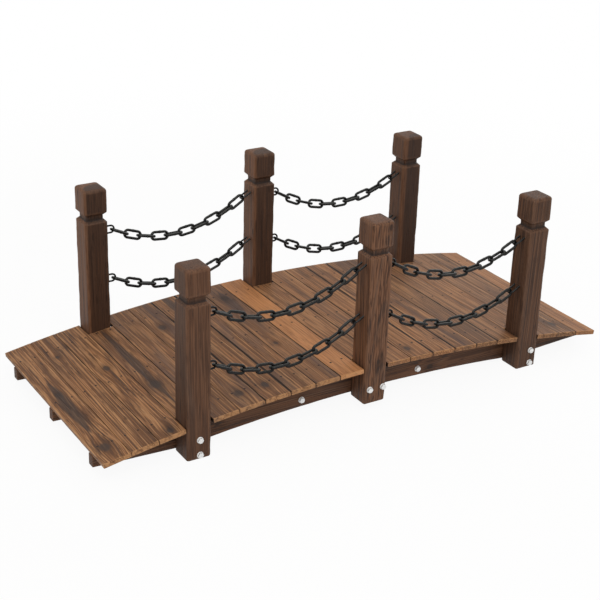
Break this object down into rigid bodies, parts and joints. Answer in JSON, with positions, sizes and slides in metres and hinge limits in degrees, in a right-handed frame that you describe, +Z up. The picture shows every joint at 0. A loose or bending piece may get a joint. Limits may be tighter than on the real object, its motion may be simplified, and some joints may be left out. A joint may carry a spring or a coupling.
{
  "type": "garden bridge",
  "caption": "Small arched garden bridge of stained timber: cross planks on arched stringers, square grooved posts and black chain rails hung from staples",
  "frame": {"origin": "on the ground under the middle of the bridge", "axes": "+X along the walkway, +Y across it, +Z up"},
  "size_m": [1.5026, 0.64, 0.5175],
  "materials": {
    "deck_wood": "stained, satin",
    "frame_wood": "dark stained, satin",
    "black_steel": "black coated, semi-gloss"
  },
  "bodies": {
    "root": {"chain_far_left_lower": "black_steel", "chain_far_left_upper": "black_steel", "chain_far_right_lower": "black_steel", "chain_far_right_upper": "black_steel", "chain_near_left_lower": "black_steel", "chain_near_left_upper": "black_steel", "chain_near_right_lower": "black_steel", "chain_near_right_upper": "black_steel", "plank_1": "deck_wood", "plank_10": "deck_wood", "plank_11": "deck_wood", "plank_12": "deck_wood", "plank_13": "deck_wood", "plank_14": "deck_wood", "plank_15": "deck_wood", "plank_16": "deck_wood", "plank_17": "deck_wood", "plank_18": "deck_wood", "plank_19": "deck_wood", "plank_2": "deck_wood", "plank_20": "deck_wood", "plank_21": "deck_wood", "plank_3": "deck_wood", "plank_4": "deck_wood", "plank_5": "deck_wood", "plank_6": "deck_wood", "plank_7": "deck_wood", "plank_8": "deck_wood", "plank_9": "deck_wood", "post_far_left": "frame_wood", "post_far_middle": "frame_wood", "post_far_right": "frame_wood", "post_near_left": "frame_wood", "post_near_middle": "frame_wood", "post_near_right": "frame_wood", "splice_far": "frame_wood", "splice_middle": "frame_wood", "splice_near": "frame_wood", "stringer_far_left": "frame_wood", "stringer_far_right": "frame_wood", "stringer_middle_left": "frame_wood", "stringer_middle_right": "frame_wood", "stringer_near_left": "frame_wood", "stringer_near_right": "frame_wood"}
  },
  "joints": []
}
